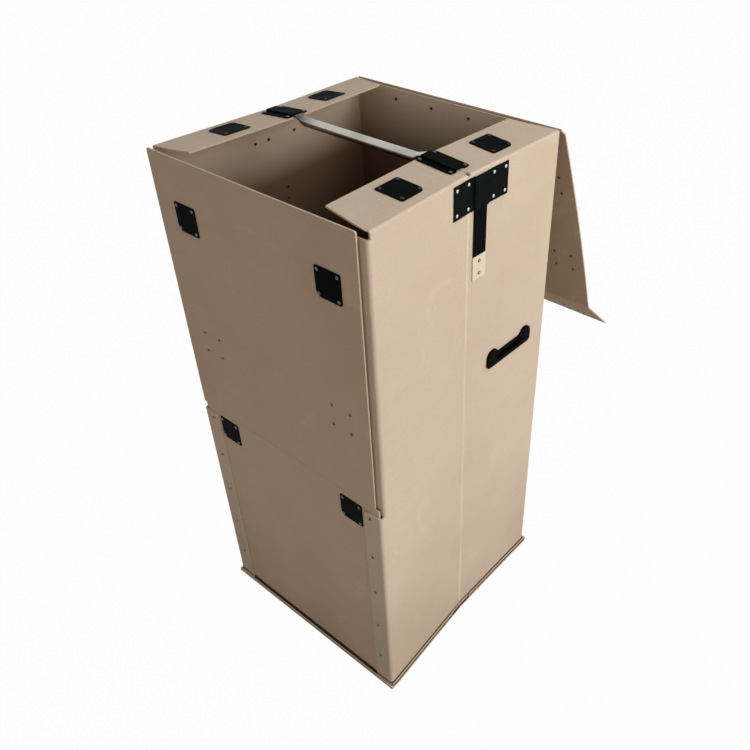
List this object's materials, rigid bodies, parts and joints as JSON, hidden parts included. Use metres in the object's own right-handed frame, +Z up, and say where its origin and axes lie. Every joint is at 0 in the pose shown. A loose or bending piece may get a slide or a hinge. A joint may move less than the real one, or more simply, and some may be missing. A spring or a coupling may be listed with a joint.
{
  "type": "wardrobe moving box",
  "caption": "Tall folding wardrobe box of solid fibreboard with a drop-down front door, a rear lid with a front flap and a hanger bar.",
  "frame": {"origin": "centre of the foot's underside, on the floor, halfway between the side walls and halfway between the front and back walls", "axes": "+Z up, +X to the right along the front, +Y to the back, where the lid hangs"},
  "size_m": [0.5494, 0.9057, 1.2138],
  "materials": {
    "wrap_board": "matte kraft fibreboard",
    "front_board": "matte kraft fibreboard",
    "lid_board": "matte kraft fibreboard",
    "tray_board": "matte pale fibreboard",
    "tab_board": "matte cream board",
    "black_plate": "semi-matte black plastic plate with riveted corners",
    "black_handle": "moulded black plastic",
    "strap": "woven black webbing",
    "bar_steel": "bright plated steel tube"
  },
  "bodies": {
    "root": {"bar_keeper_left": "black_plate", "bar_keeper_right": "black_plate", "base_tray": "tray_board", "body_wrap": "wrap_board", "ear_patch_left": "black_plate", "ear_patch_right": "black_plate", "flap_patch_back_left": "black_plate", "flap_patch_back_right": "black_plate", "flap_patch_front_left": "black_plate", "flap_patch_front_right": "black_plate", "front_lower_panel": "front_board", "handle_left": "black_handle", "handle_right": "black_handle", "hanging_bar": "bar_steel", "lid_mounting_strip": "lid_board", "lower_panel_patch_left": "black_plate", "lower_panel_patch_right": "black_plate", "strap_left": "strap", "strap_plate_left": "black_plate", "strap_plate_right": "black_plate", "strap_right": "strap", "strap_tab_left": "tab_board", "strap_tab_right": "tab_board"},
    "door": {"door_inner_patch_left": "black_plate", "door_inner_patch_right": "black_plate", "door_patch_left": "black_plate", "door_patch_right": "black_plate", "front_door": "front_board"},
    "lid_spine": {"lid_spine": "lid_board"},
    "lid": {"lid_panel": "lid_board", "lid_patch_back_left": "black_plate", "lid_patch_back_right": "black_plate", "lid_patch_front_left": "black_plate", "lid_patch_front_right": "black_plate"},
    "lid_flap": {"lid_flap_patch_left": "black_plate", "lid_flap_patch_right": "black_plate", "lid_front_flap": "lid_board"}
  },
  "joints": [
    {"name": "door_fold", "type": "hinge", "parent": "root", "child": "door", "pos_m": [0, -0.284, 0.6], "axis": [1, 0, 0], "range_deg": [0, 180]},
    {"name": "spine_fold", "type": "hinge", "parent": "root", "child": "lid_spine", "pos_m": [0, 0.2763, 1.19928], "axis": [1, 0, 0], "range_deg": [-5, 153]},
    {"name": "lid_fold", "type": "hinge", "parent": "lid_spine", "child": "lid", "pos_m": [0, 0.29521, 1.18451], "axis": [1, 0, 0], "range_deg": [-8, 95]},
    {"name": "lid_flap_fold", "type": "hinge", "parent": "lid", "child": "lid_flap", "pos_m": [0, 0.50145, 0.67404], "axis": [1, 0, 0], "range_deg": [-30, 65]}
  ]
}
